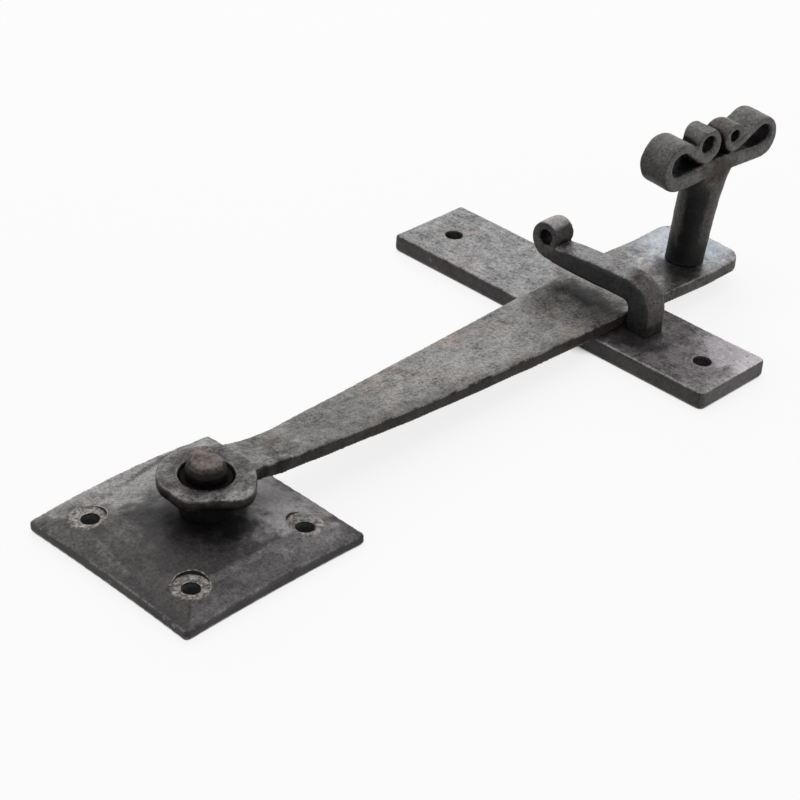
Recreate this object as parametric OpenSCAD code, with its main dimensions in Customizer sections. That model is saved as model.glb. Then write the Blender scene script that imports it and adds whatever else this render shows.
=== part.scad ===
// Forged gate latch: pivot plate with its stud, a swinging bar with a ram's-horn handle,
// and a keeper plate with a scrolled hook that catches the bar.
// Lying as on a bench: the two plates' backs are at z = 0 and +Z points out of the gate.
// The origin is the middle of the pivot plate's screw holes; +X runs toward the keeper.

/* [Pivot plate] */
// Side of the square pivot plate
plate_side = 79.4; // [72:0.2:90]
// Thickness of the pivot plate at its rim
plate_rim = 3.2; // [2.5:0.1:4.5]
// Radius of the pivot plate's corners
plate_corner = 1.2; // [1:0.1:6]
// Distance from the rim to the crease that runs through the screw holes
crease_inset = 13.7; // [11:0.1:15]
// Height of the crease above the back
crease_height = 6.9; // [6:0.1:8]
// Height of the flat crown above the back
crown_height = 9.5; // [8.5:0.1:11]
// Distance between the pivot plate's screw holes, both ways
screw_spacing = 50.6; // [48:0.1:54]
// Diameter of the pivot plate's screw holes
screw_bore = 6.5; // [5:0.1:7]
// Width across the countersinks of the pivot plate's screw holes
sink_width = 12; // [10:0.2:13]
// Thickness of the crown over the hollow in the back
crown_wall = 3.2; // [2.5:0.1:4]
// Half width of the hollow in the pivot plate's back
hollow_half = 18.5; // [15:0.5:20]

/* [Pivot] */
// Distance of the stud from the plate's middle, toward the keeper
stud_offset = 3.5; // [0:0.5:6]
// Diameter of the stud's shank
shank_width = 10; // [8:0.5:12]
// Diameter of the stud's hammered head
head_width = 14.2; // [12.6:0.2:15]
// Height of the stud's hammered head
head_height = 5.9; // [4.5:0.1:7]
// Width across the flat on top of the head
head_flat = 6.4; // [4:0.2:8]
// Diameter of the rivet head in the plate's hollow
rivet_width = 17; // [15:0.5:20]
// Height of the rivet head in the plate's hollow
rivet_height = 3.4; // [2.5:0.1:4.5]
// Outer diameter of the collar under the bar's eye
collar_width = 18; // [16:0.5:19]
// Height of the collar
collar_height = 9.2; // [7:0.2:11]
// Outer diameter of the washer in the eye
washer_width = 18.2; // [16:0.2:20]
// Thickness of the washer
washer_thick = 1.6; // [1.2:0.1:2]
// Running clearance between the shank and the eye's bore, on the radius
pivot_fit = 0.08; // [0.03:0.01:0.1]
// Play above and below the eye
pivot_play = 0.3; // [0.2:0.05:0.5]
// Clearance around the washer in the eye's counterbore
washer_gap = 0.4; // [0.3:0.05:0.6]
// Depth of the washer's top below the eye's top
washer_sunk = 1; // [0.5:0.1:1.5]

/* [Bar] */
// Distance from the stud to the bar's far end
bar_reach = 280.8; // [275:0.1:292]
// Thickness of the bar
bar_thick = 5; // [4.5:0.1:6]
// Width of the neck beside the eye
neck_width = 18.2; // [14:0.2:20]
// Width of the bar at its broad end
broad_width = 38.4; // [34:0.2:42]
// Outer diameter of the bar's eye
eye_width = 33.4; // [30:0.2:38]
// How fast the bar broadens from its neck
broaden_power = 1.7; // [1.2:0.1:2]
// Distance from the stud to the start of the broadening
neck_end = 36; // [30:1:45]
// Radius of the two corners at the broad end
end_corner = 9; // [6:0.5:14]
// Bulge of the broad end beyond a straight edge
end_bulge = 0.8; // [0:0.1:4]
// Sideways set of the broad end past the keeper, toward the hook's leg
end_set = 1.6; // [0:0.1:3]
// Set-down just beyond the eye
eye_step = 1.2; // [0.6:0.1:2]
// Turn of the bar at rest, away from the hook's leg
bar_turn = 1.45; // [0:0.05:3]
// Gap between the bar and the keeper plate at rest
rest_gap = 0.3; // [0.2:0.05:0.5]

/* [Handle] */
// Distance from the bar's far end back to the handle's post
post_inset = 22.3; // [20:0.1:32]
// Distance of the post from the bar's middle, toward the hook's leg
post_side = 5.7; // [0:0.1:8]
// Diameter of the post at its foot
post_width = 15.6; // [13:0.2:18]
// Diameter of the post below the horns
post_top_width = 17.4; // [15:0.2:20]
// Lean of the post toward the bar's end
post_lean = 7; // [0:0.5:8]
// Turn of the horns about the post, from the bar's length
horn_turn = 7.3; // [0:0.1:12]
// Height of the arms' middle above the bar, where they leave the post
horn_height = 43.4; // [38:0.2:50]
// Width of the post's flare under the arms
flare_width = 27; // [20:0.5:32]
// Thickness of each arm where it leaves the post
arm_thick = 7; // [6:0.5:9]
// Fall of each arm from the post to the underside of its big loop
arm_fall = 2.3; // [0.5:0.1:4]
// Fall of the far arm, on the side of the bar's end
far_arm_fall = 1.2; // [0.5:0.1:4]
// Thickness of each arm where it turns up into its big loop
loop_foot_thick = 6.4; // [5:0.2:8]
// Thickness of the strap at the top of the big loops
loop_thick = 4.2; // [3:0.1:5]
// Thickness of the strap at the tips of the small scrolls
horn_tip_thick = 2.4; // [2:0.1:3]
// Diameter of the post's tenon through the bar
tenon_width = 10; // [8:0.5:12]
// Distance of each big loop's centre from the post
loop_reach = 22.2; // [21:0.1:24]
// Distance of the far loop's centre from the post
far_loop_reach = 23.2; // [21:0.1:24]
// Radius of each big loop, to the strap's middle
loop_radius = 7.5; // [7:0.1:8.5]
// Radius of the far loop, to the strap's middle
far_loop_radius = 7; // [6.6:0.1:8.5]
// Distance of each small scroll's centre from the post
curl_reach = 7.6; // [7.4:0.1:8.5]
// Height of the near small scroll's centre above its loop's
curl_rise = 5; // [3.5:0.1:5.4]
// Height of the far small scroll's centre above its loop's
far_curl_rise = 3.4; // [3:0.1:5]
// Radius of the near small scroll where it starts, to the strap's middle
curl_radius = 5.5; // [5:0.1:5.8]
// Radius of the far small scroll where it starts
far_curl_radius = 4.9; // [4.6:0.1:5.8]
// Radius of each small scroll at its tip
curl_tip_radius = 3; // [2.8:0.1:3.6]
// Width of the horn's strap at the post
strap_width = 15.5; // [13:0.5:17]
// Width of the strap round the big loops
strap_loop_width = 14; // [12:0.5:16]
// Width of the strap at the tip of the small scroll
strap_tip_width = 9; // [6:0.5:11]

/* [Keeper] */
// Distance from the pivot plate's middle to the keeper plate's middle
keeper_reach = 211.8; // [205:0.2:216]
// Width of the keeper plate
keeper_width = 39.4; // [34:0.2:44]
// Length of the keeper plate
keeper_length = 160.4; // [150:0.2:175]
// Thickness of the keeper plate
keeper_thick = 6.75; // [5:0.05:8]
// Radius of the keeper plate's corners
keeper_corner = 2.5; // [1:0.5:6]
// Distance between the keeper plate's screw holes
keeper_spacing = 129.4; // [124:0.2:134]
// Diameter of the keeper plate's screw holes
keeper_bore = 7; // [5:0.1:8]
// Distance from the hook's leg to the keeper plate's middle
hook_offset = 35; // [30:0.1:38]

/* [Hook] */
// Distance of the hook from the keeper plate's middle, toward the handle
hook_side = 1.2; // [0:0.1:3]
// Width of the hook's leg along the bar
leg_width = 11; // [9:0.5:13]
// Depth of the hook's leg across the bar
leg_depth = 11; // [10:0.5:14]
// Gap between the leg and the bar at rest
stop_gap = 0.35; // [0.3:0.05:0.6]
// Clear height over the bar, under the hook's arm
mouth_clear = 6.4; // [5:0.2:9]
// Width of the hook's arm
arm_width = 11.5; // [8:0.5:12]
// Depth of the hook's arm
arm_depth = 9.5; // [7:0.5:11]
// Radius of the bend, to the middle of the bar stock
bend_radius = 8; // [7:0.5:10]
// Distance from the leg to the scroll's centre
scroll_reach = 48.2; // [42:0.1:52]
// Drop of the arm between the bend and the scroll
arm_drop = 1; // [0:0.1:2]
// Radius of the scroll where it starts, to the middle of the stock
scroll_radius = 6.1; // [5.5:0.1:6.6]
// Radius of the scroll at its tip
scroll_tip_radius = 3.6; // [3.2:0.1:4]
// Depth of the arm where the scroll starts
scroll_depth = 5.8; // [5:0.1:7]
// Thickness of the stock at the scroll's tip
scroll_tip_thick = 2.2; // [1.8:0.1:3]
// Width of the stock at the scroll's tip
scroll_tip_width = 10.5; // [8:0.5:11]
// Diameter of the leg's tenon through the keeper plate
hook_tenon_width = 8; // [6:0.5:9]

/* [Hidden] */

// Clearance of a tenon in its hole, on the radius
tenon_fit = 0.05;
// Length by which a cutter runs past the face that it cuts
over = 1;
// Facets of the plain round faces
$fn = 64;

// Rim of the flat crown around the collar
crown_rim = 1.5;
// Corner radius of the pivot plate's crown and hollow
crown_corner = 3;
// Chamfers of the stud's head and rivet
head_edge = 0.8;

// Heights at the pivot, from the back upward
crown_half = collar_width/2 + crown_rim;
eye_bottom = crown_height + collar_height + pivot_play;
eye_top = eye_bottom + bar_thick;
sink_floor = eye_top - washer_sunk - washer_thick - pivot_play;
washer_bottom = sink_floor + pivot_play;
head_bottom = washer_bottom + washer_thick;

// Heights at the keeper
bar_bottom = keeper_thick + rest_gap;
bar_top = bar_bottom + bar_thick;
bar_bow = eye_top - eye_step - bar_top;
arm_inside = bar_top + mouth_clear;

// Places along the bar, measured from the stud
post_reach = bar_reach - post_inset;
shoulder = eye_width/2 - 3;
eye_lap = 4;
bow_end = keeper_reach + keeper_width/2 - stud_offset;
step_length = 13;
set_length = 30;
fillet_length = 9;
fillet_rise = max(0, sqrt(pow(eye_width/2, 2) - pow(shoulder, 2)) - neck_width/2);
bar_slices = 44;
tip_slices = 8;

// Half width of the bar where the hook stands, and the leg's place
leg_reach = keeper_reach + hook_side - stud_offset;
leg_y = leg_reach*tan(bar_turn) - half_width(leg_reach)/cos(bar_turn) - stop_gap - leg_depth/2;
keeper_y = leg_y + hook_offset;

// A number that goes smoothly from 0 to 1 as t does
function ease(t) = let(u = min(1, max(0, t))) u*u*(3 - 2*u);
function mix(a, b, t) = a + (b - a)*t;

// Half width of the bar at distance x from the stud, without its rounded end
function half_width(x) = let(u = min(1, max(0, (x - neck_end)/(bar_reach - neck_end - end_corner))))
    mix(neck_width, broad_width, 1 - pow(1 - u, broaden_power))/2 + neck_fillet(x);
// What the fillets beside the eye add to the half width
function neck_fillet(x) = fillet_rise*pow(max(0, 1 - (x - shoulder)/fillet_length), 2);

// Height of the bar's top at distance x from the stud
function top_height(x) = let(s = min(1, max(0, (x - shoulder)/(bow_end - shoulder))))
    bar_top + bar_bow*pow(1 - s, 2) + eye_step*(1 - ease((x - shoulder)/step_length));

// Plan of the bar: one edge out, round the broad end, and the other edge back
bar_edge = [for (i = [0:bar_slices]) let(x = mix(shoulder, bar_reach - end_corner, i/bar_slices))
    [x, half_width(x)]];
end_arc = [for (i = [1:tip_slices]) let(a = 90 - 90*i/tip_slices, r = end_corner)
    [bar_reach - r - end_bulge + r*cos(a), half_width(bar_reach) - r + r*sin(a)]];
end_rise = [for (i = [1:4]) let(t = i/5)
    [bar_reach - end_bulge + end_bulge*(2*t - t*t), (half_width(bar_reach) - end_corner)*(1 - t)]];
half_plan = concat([for (p = bar_edge) if (p[0] < bar_reach - end_corner - end_bulge) p], end_arc, end_rise);
bar_plan = [for (p = concat(half_plan, [[bar_reach, 0]], [for (i = [len(half_plan) - 1:-1:0])
    [half_plan[i][0], -half_plan[i][1]]])) [p[0], p[1] - end_set*ease((p[0] - bow_end)/set_length)]];

// Side view of the bar: its top edge out and its underside back
bar_tops = [for (i = [0:bar_slices]) let(x = mix(shoulder, bow_end, i/bar_slices)) [x, top_height(x)]];
bar_side = concat([[shoulder - eye_lap, eye_top]], bar_tops, [[bar_reach + over, bar_top], [bar_reach + over, bar_bottom]],
    [for (i = [bar_slices:-1:0]) bar_tops[i] - [0, bar_thick]], [[shoulder - eye_lap, eye_bottom]]);

// Swept stock. A station is [place, height, heading, width, thickness]: the section stands
// across the heading, its thickness in the plane of the sweep and its width square to it.
section_sides = 20;
function rounded(a, n) = sign(a)*pow(abs(a), n);
function ring(s, roundness) = [for (i = [0:section_sides - 1]) let(a = 360*i/section_sides,
    across = rounded(cos(a), roundness)*s[4]/2, wide = rounded(sin(a), roundness)*s[3]/2)
    [s[0] - across*sin(s[2]), wide, s[1] + across*cos(s[2])]];

module swept(stations, roundness) {
    n = section_sides;
    last = len(stations) - 1;
    points = [for (s = stations) each ring(s, roundness)];
    sides = [for (i = [0:last - 1]) for (j = [0:n - 1]) let(a = i*n + j, b = i*n + (j + 1) % n)
        each [[a, b, b + n], [a, b + n, a + n]]];
    caps = [[for (j = [n - 1:-1:0]) j], [for (j = [0:n - 1]) last*n + j]];
    polyhedron(points, concat(sides, caps), convexity = 8);
}

// Slab with round corners, from cylinders and two crossed boxes
module round_slab(width, length, height, corner) {
    for (x = [-1, 1], y = [-1, 1])
        translate([x*(width/2 - corner), y*(length/2 - corner), 0])
            cylinder(r = corner, h = height);
    translate([-width/2, corner - length/2, 0]) cube([width, length - 2*corner, height]);
    translate([corner - width/2, -length/2, 0]) cube([width - 2*corner, length, height]);
}

// Thickness of the thin squares
skin = 0.05;
// Thin square at a height, for the hulls that make the pivot plate
module level(half, height, corner) {
    translate([0, 0, height])
        linear_extrude(skin) for (x = [-1, 1], y = [-1, 1])
            translate([x*(half - corner), y*(half - corner)]) circle(r = corner, $fn = 24);
}

module pivot_plate() {
    sink_depth = (sink_width - screw_bore)/2;
    sink_over = 3;
    color([0.33, 0.31, 0.31]) difference() {
        hull() {
            level(plate_side/2, 0, plate_corner);
            level(plate_side/2, plate_rim, plate_corner);
            level(plate_side/2 - crease_inset, crease_height, plate_corner);
            translate([stud_offset, 0, 0]) level(crown_half, crown_height - skin, crown_corner);
        }
        hull() {
            level(hollow_half, -over, crown_corner);
            level(hollow_half, crease_height - crown_wall, crown_corner);
            translate([stud_offset, 0, 0]) level(crown_half, crown_height - crown_wall - skin, crown_corner);
        }
        translate([stud_offset, 0, 0]) cylinder(d = shank_width + 2*tenon_fit, h = crown_height + over);
        for (x = [-1, 1], y = [-1, 1]) translate([x*screw_spacing/2, y*screw_spacing/2, 0]) {
            translate([0, 0, -over]) cylinder(d = screw_bore, h = crown_height + 2*over);
            translate([0, 0, crease_height - sink_depth])
                cylinder(d1 = screw_bore, d2 = sink_width + 2*sink_over, h = sink_depth + sink_over);
        }
    }
}

module pivot_stud() {
    rivet_top = crown_height - crown_wall;
    rivet_low = rivet_top - rivet_height;
    color([0.38, 0.36, 0.36]) translate([stud_offset, 0, 0]) rotate_extrude() polygon([
        [0, rivet_low],
        [rivet_width/2 - 3*head_edge, rivet_low],
        [rivet_width/2 - head_edge, rivet_low + head_edge],
        [rivet_width/2, rivet_top - head_edge],
        [rivet_width/2, rivet_top],
        [shank_width/2, rivet_top],
        [shank_width/2, head_bottom],
        [(head_width - head_edge)/2, head_bottom],
        [head_width/2, head_bottom + head_edge],
        [head_width/2, head_bottom + head_height*0.45],
        [head_width/2 - head_edge, head_bottom + head_height*0.78],
        [mix(head_flat, head_width, 0.4)/2, head_bottom + head_height*0.95],
        [head_flat/2, head_bottom + head_height],
        [0, head_bottom + head_height]]);
}

module pivot_collar() {
    color([0.28, 0.27, 0.27]) translate([stud_offset, 0, crown_height]) difference() {
        cylinder(d = collar_width, h = collar_height);
        translate([0, 0, -over]) cylinder(d = shank_width + 2*tenon_fit, h = collar_height + 2*over);
    }
}

module pivot_washer() {
    color([0.45, 0.43, 0.42]) translate([stud_offset, 0, washer_bottom]) difference() {
        cylinder(d = washer_width, h = washer_thick);
        translate([0, 0, -over]) cylinder(d = shank_width + 2*tenon_fit, h = washer_thick + 2*over);
    }
}

module latch_bar() {
    color([0.56, 0.55, 0.55]) translate([stud_offset, 0, 0]) rotate([0, 0, bar_turn]) difference() {
        union() {
            translate([0, 0, eye_bottom]) cylinder(d = eye_width, h = bar_thick);
            intersection() {
                linear_extrude(eye_top + over) polygon(bar_plan);
                translate([0, broad_width, 0]) rotate([90, 0, 0])
                    linear_extrude(2*broad_width) polygon(bar_side);
            }
        }
        translate([0, 0, eye_bottom - over]) cylinder(d = shank_width + 2*pivot_fit, h = bar_thick + 2*over);
        translate([0, 0, sink_floor]) cylinder(d = washer_width + 2*washer_gap, h = bar_thick);
        translate([post_reach, -post_side, bar_bottom - over])
            cylinder(d = tenon_width + 2*tenon_fit, h = bar_thick + 2*over);
    }
}

// Half of the ram's horn in the plane of the horns: the arm leaves the post, turns up through
// the big loop, crosses back and rolls the other way into the small scroll.
curl_end = -15;
horn_overlap = 2;
function horn_stations(reach, radius, fall, rise, curl) = let(
    loop_centre = [reach, radius - fall],
    curl_centre = [curl_reach, loop_centre[1] + rise],
    gap = curl_centre - loop_centre,
    cross_angle = atan2(gap[1], gap[0]) - acos((radius + curl)/norm(gap)))
    concat(
        [for (i = [0:5]) let(t = i/6)
            [mix(-horn_overlap, reach, t), -fall*ease(t), -atan(6*t*(1 - t)*fall/reach),
                mix(strap_width, strap_loop_width, t), mix(arm_thick, loop_foot_thick, ease(t))]],
        [for (i = [0:18]) let(t = i/18, a = mix(-90, cross_angle, t), p = loop_centre + radius*[cos(a), sin(a)])
            [p[0], p[1], a + 90, strap_loop_width, mix(loop_foot_thick, loop_thick, ease(1.6*t))]],
        [for (i = [0:24]) let(t = i/24, a = mix(cross_angle + 180, curl_end - 180, t),
            p = curl_centre + mix(curl, curl_tip_radius, pow(t, 1.4))*[cos(a), sin(a)])
            [p[0], p[1], a - 90, mix(strap_loop_width, strap_tip_width, min(1, 1.6*t)),
                mix(loop_thick, horn_tip_thick, min(1, 2*t))]]);

// The post leans a little and flares into the arms, in the same plane
head_shift = horn_height*tan(post_lean);
post_stations = [for (i = [0:12]) let(t = i/12)
    [head_shift*t, horn_height*t, i == 0 ? 90 : 90 - post_lean,
        mix(post_width, post_top_width, ease(t/0.8)) - (post_top_width - strap_width)*pow(t, 8),
        mix(post_width, post_top_width, ease(t/0.8)) + (flare_width - post_top_width)*pow(t, 9)]];

module horn(reach, radius, fall, rise, curl) {
    swept(horn_stations(reach, radius, fall, rise, curl), 0.6);
}

module ram_horn_handle() {
    color([0.42, 0.40, 0.40]) translate([stud_offset, 0, 0]) rotate([0, 0, bar_turn])
        translate([post_reach, -post_side, bar_top]) {
            translate([0, 0, -bar_thick]) cylinder(d = tenon_width, h = bar_thick + over);
            rotate([0, 0, -horn_turn]) {
                swept(post_stations, 1);
                translate([head_shift, 0, horn_height]) {
                    horn(far_loop_reach, far_loop_radius, far_arm_fall, far_curl_rise, far_curl_radius);
                    mirror([1, 0, 0]) horn(loop_reach, loop_radius, arm_fall, curl_rise, curl_radius);
                }
            }
        }
}

module keeper_plate() {
    color([0.45, 0.43, 0.42]) translate([keeper_reach, keeper_y, 0]) difference() {
        round_slab(keeper_width, keeper_length, keeper_thick, keeper_corner);
        for (y = [-1, 1]) translate([0, y*keeper_spacing/2, -over])
            cylinder(d = keeper_bore, h = keeper_thick + 2*over);
        translate([hook_side, -hook_offset, -over])
            cylinder(d = hook_tenon_width + 2*tenon_fit, h = keeper_thick + 2*over);
    }
}

// The hook's stock in its own plane: up the leg, round the bend, along the arm and up into the scroll
arm_middle = arm_inside + arm_depth/2 - keeper_thick;
scroll_centre = [scroll_reach, arm_middle - arm_drop + scroll_radius];
scroll_end = 228;
leg_stations = [for (i = [0:3]) let(t = i/4)
    [0, (arm_middle - bend_radius)*t, 90, leg_width, leg_depth]];
bend_stations = [for (i = [0:9]) let(t = i/9, a = 180 - 90*t)
    [bend_radius + bend_radius*cos(a), arm_middle - bend_radius + bend_radius*sin(a), a - 90,
        mix(leg_width, arm_width, t), mix(leg_depth, arm_depth, ease(t))]];
reach_stations = [for (i = [1:6]) let(t = i/7)
    [mix(bend_radius, scroll_reach, t), arm_middle - arm_drop*ease(t), 0, arm_width,
        mix(arm_depth, scroll_depth, pow(t, 3))]];
scroll_stations = [for (i = [0:24]) let(t = i/24, a = mix(-90, scroll_end, t),
    r = mix(scroll_radius, scroll_tip_radius, t), taper = pow(1 - min(1, 2.2*t), 2))
    [scroll_centre[0] + r*cos(a), scroll_centre[1] + r*sin(a), a + 90,
        mix(arm_width, scroll_tip_width, ease(2*t)),
        mix(scroll_tip_thick + 1, scroll_tip_thick, t) + (scroll_depth - scroll_tip_thick - 1)*taper]];

module keeper_hook() {
    color([0.36, 0.35, 0.34]) translate([keeper_reach + hook_side, leg_y, keeper_thick]) {
        translate([0, 0, -keeper_thick]) cylinder(d = hook_tenon_width, h = keeper_thick + over);
        rotate([0, 0, 90]) swept(concat(leg_stations, bend_stations, reach_stations, scroll_stations), 0.55);
    }
}

pivot_plate();
pivot_stud();
pivot_collar();
pivot_washer();
latch_bar();
ram_horn_handle();
keeper_plate();
keeper_hook();
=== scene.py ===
"""A forged gate latch: every piece is drawn out, bent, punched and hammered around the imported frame.

All shaping is done in millimetres. settle() brings each finished piece to metres and dresses it.
"""
import math

import bmesh
import bpy
from mathutils import Matrix, Vector
from mathutils.bvhtree import BVHTree


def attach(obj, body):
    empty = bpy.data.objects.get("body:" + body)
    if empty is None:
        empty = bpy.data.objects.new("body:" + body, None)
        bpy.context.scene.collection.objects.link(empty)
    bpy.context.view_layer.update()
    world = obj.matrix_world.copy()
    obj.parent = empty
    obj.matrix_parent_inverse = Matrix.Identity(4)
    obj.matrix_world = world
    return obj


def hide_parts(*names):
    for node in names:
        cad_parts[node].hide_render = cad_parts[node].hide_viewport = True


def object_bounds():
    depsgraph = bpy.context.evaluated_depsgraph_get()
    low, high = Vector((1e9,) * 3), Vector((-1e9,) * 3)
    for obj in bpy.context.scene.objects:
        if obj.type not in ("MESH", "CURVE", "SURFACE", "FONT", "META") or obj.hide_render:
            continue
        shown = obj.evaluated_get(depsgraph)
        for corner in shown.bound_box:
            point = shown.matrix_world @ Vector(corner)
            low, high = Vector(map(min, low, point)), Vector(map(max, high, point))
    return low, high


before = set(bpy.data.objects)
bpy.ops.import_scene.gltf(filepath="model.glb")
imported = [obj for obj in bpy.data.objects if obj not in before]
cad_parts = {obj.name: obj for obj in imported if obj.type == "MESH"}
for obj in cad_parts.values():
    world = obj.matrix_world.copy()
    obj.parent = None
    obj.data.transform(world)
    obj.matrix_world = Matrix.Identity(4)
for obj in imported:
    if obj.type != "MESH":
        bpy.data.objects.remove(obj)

cad_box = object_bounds()
MM = 0.001

# Measures in millimetres, nearly all of them the same as in the part's source.
PLATE, RIM, CREASE, CROWN = 79.4, 3.2, 6.9, 9.5
CREASE_INSET, CROWN_HALF, PLATE_CORNER = 13.7, 10.5, 1.2
SCREWS, SCREW_BORE, SINK_WIDTH = 50.6, 6.6, 12.0
HOLLOW_HALF, CROWN_WALL = 18.5, 3.2
STUD_X, SHANK, HEAD, HEAD_HEIGHT, HEAD_FLAT = 3.5, 10.0, 14.2, 5.9, 6.4
RIVET, RIVET_HEIGHT = 17.0, 3.4
COLLAR, COLLAR_HEIGHT = 18.0, 9.2
WASHER, WASHER_THICK, WASHER_LOW = 18.2, 1.6, 21.4
BAR_REACH, BAR_THICK, NECK, BROAD, EYE = 280.8, 5.0, 18.2, 38.4, 33.4
NECK_END, END_CORNER, END_BULGE, EYE_STEP, BAR_TURN = 36.0, 9.0, 0.8, 1.2, 1.45
EYE_LOW, EYE_TOP, SINK_FLOOR, BAR_LOW, BAR_TOP = 19.0, 24.0, 21.1, 7.05, 12.05
BAR_BOW, BOW_END, SHOULDER, STEP, FILLET, END_SET = 10.75, 228.0, 13.7, 13.0, 6.0, 1.6
BROADEN = 1.8
POST_X, POST_Y, POST, POST_TOP, POST_LEAN, HORN_TURN = 258.5, -5.7, 15.6, 17.4, 7.0, 7.3
HORN_HEIGHT, FLARE, STRAP, STRAP_LOOP, TENON = 43.4, 27.0, 15.5, 14.0, 10.0
ARM_THICK, LOOP_FOOT_THICK, CURL_REACH, CURL_TIP_THICK = 7, 6.4, 7.6, 2.5
KEEPER_X, KEEPER_Y, KEEPER_WIDE, KEEPER_LONG, KEEPER = 211.8, 16.298, 39.4, 160.4, 6.75
KEEPER_SCREWS, KEEPER_BORE = 129.4, 7.0
HOOK_X, HOOK_Y, HOOK_TENON = 213.0, -18.702, 8.0
LEG, ARM_WIDE, ARM_DEEP, SCROLL_DEEP, SCROLL_WIDE = 11, 11.5, 9.5, 5.8, 10.5
BEND, ARM_HEIGHT, ARM_DROP, SCROLL_REACH, SCROLL, SCROLL_TIP = 8.0, 16.45, 1.0, 48.2, 6.1, 3.6

# How a blank is turned while its forged skin is laid, and back.
SLANT, SLANT_BACK = ((0, 0, 23), (0, 19, 0)), ((0, -19, 0), (0, 0, -23))

# Tones that all the iron shares.
# the first is painted shade in hollows; the pit tone is real pitting, also painted as shade down the
# bores
PAINTED_HOLLOW_SHADE, PIT_AND_BORE_SHADE = (0.005, 0.004, 0.004), (0.008, 0.007, 0.007)
# the rubbed tone is real edge wear; the bare tone is partly painted light
RUBBED, BARE_AND_LIT = (0.34, 0.32, 0.305), (0.33, 0.305, 0.29)


def ease(t):
    """From 0 to 1, setting off and arriving softly."""
    u = min(1.0, max(0.0, t))
    return u * u * (3 - 2 * u)


def bump(x, middle, reach):
    """A soft hill, 1 high at its middle and 0 beyond its reach."""
    return ease(1 - abs(x - middle) / reach)


def mix(a, b, t):
    return a + (b - a) * t


# --- the workshop -----------------------------------------------------------------------------

def bench():
    """Leaves edit mode and puts down whatever is selected."""
    if bpy.context.mode != "OBJECT":
        bpy.ops.object.mode_set(mode="OBJECT")
    bpy.ops.object.select_all(action="DESELECT")


def hold(piece):
    """Puts down the rest and takes up one piece."""
    bench()
    piece.select_set(True)
    bpy.context.view_layer.objects.active = piece


def start(name, primitive, **how):
    """Adds a primitive as the first stock of a piece and opens it for shaping."""
    bench()
    primitive(**how)
    piece = bpy.context.object
    piece.name = piece.data.name = name
    bpy.ops.object.transform_apply(location=True, rotation=True, scale=True)
    bpy.ops.object.mode_set(mode="EDIT")
    bpy.ops.mesh.select_all(action="SELECT")
    return piece


def pick(test, kind="FACE"):
    """Selects the faces (or vertices) whose middle and direction pass the test."""
    bpy.ops.mesh.select_mode(type=kind)
    bpy.ops.mesh.select_all(action="DESELECT")
    shape = bmesh.from_edit_mesh(bpy.context.object.data)
    for part in (shape.faces if kind == "FACE" else shape.verts):
        middle = part.calc_center_median() if kind == "FACE" else part.co
        part.select_set(bool(test(middle, part.normal)))
    shape.select_flush_mode()
    bmesh.update_edit_mesh(bpy.context.object.data)


def pick_edges(test):
    """Selects the edges whose middle and run pass the test."""
    bpy.ops.mesh.select_mode(type="EDGE")
    bpy.ops.mesh.select_all(action="DESELECT")
    shape = bmesh.from_edit_mesh(bpy.context.object.data)
    for edge in shape.edges:
        a, b = (corner.co for corner in edge.verts)
        edge.select_set(bool(test((a + b) / 2, b - a)))
    bmesh.update_edit_mesh(bpy.context.object.data)


def draw_on(step, swell, about):
    """One heat: the selected end is drawn on by a step and swelled or thinned about a point."""
    bpy.ops.mesh.extrude_region_move(TRANSFORM_OT_translate={"value": step})
    bpy.ops.transform.resize(value=swell, center_override=about)


def drawn(name, stations, along="x", sides=4, corner=0.0):
    """Draws a blank out through its stations (x, y, z, one size, other size across its run)."""
    flat = along == "x"
    turn = (0, math.pi / 2, 0) if flat else (0, 0, 0)
    if sides == 4:
        piece = start(name, bpy.ops.mesh.primitive_plane_add, size=1, rotation=turn)
    else:
        piece = start(name, bpy.ops.mesh.primitive_circle_add, vertices=sides, radius=0.5,
                      fill_type="NGON", rotation=turn)

    def spread(a, b):
        return (1, a, b) if flat else (a, b, 1)

    x, y, z, a, b = stations[0]
    bpy.ops.transform.resize(value=spread(a, b), center_override=(0, 0, 0))
    if corner:
        bpy.ops.mesh.bevel(offset=corner, segments=3, affect="VERTICES")
        bpy.ops.mesh.select_all(action="SELECT")
    bpy.ops.transform.translate(value=(x, y, z))
    for here, after in zip(stations, stations[1:]):
        step = tuple(q - p for p, q in zip(here[:3], after[:3]))
        draw_on(step, spread(after[3] / here[3], after[4] / here[4]), after[:3])
    bpy.ops.mesh.select_all(action="SELECT")
    bpy.ops.mesh.normals_make_consistent(inside=False)
    bench()
    return piece


def work(piece, kind, **settings):
    """Puts one modifier on a piece and applies it."""
    hold(piece)
    tool = piece.modifiers.new(kind.lower(), kind)
    for name, value in settings.items():
        setattr(tool, name, value)
    bpy.ops.object.modifier_apply(modifier=tool.name)
    return piece


def weld(piece, other):
    """Joins two pieces into one closed skin."""
    work(piece, "BOOLEAN", operation="UNION", solver="EXACT", object=other)
    bpy.data.objects.remove(other)
    return piece


def cut(piece, tool):
    """Cuts a tool's shape out of a piece."""
    work(piece, "BOOLEAN", operation="DIFFERENCE", solver="EXACT", object=tool)
    bpy.data.objects.remove(tool)
    return piece


def punch(piece, x, y, low, high, wide, top_wide=None):
    """Drives a round punch through, straight or flaring toward the top."""
    top_wide = top_wide or wide
    return cut(piece, start("punch", bpy.ops.mesh.primitive_cone_add, vertices=56, radius1=wide / 2,
                            radius2=top_wide / 2, depth=high - low, location=(x, y, (low + high) / 2)))


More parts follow.
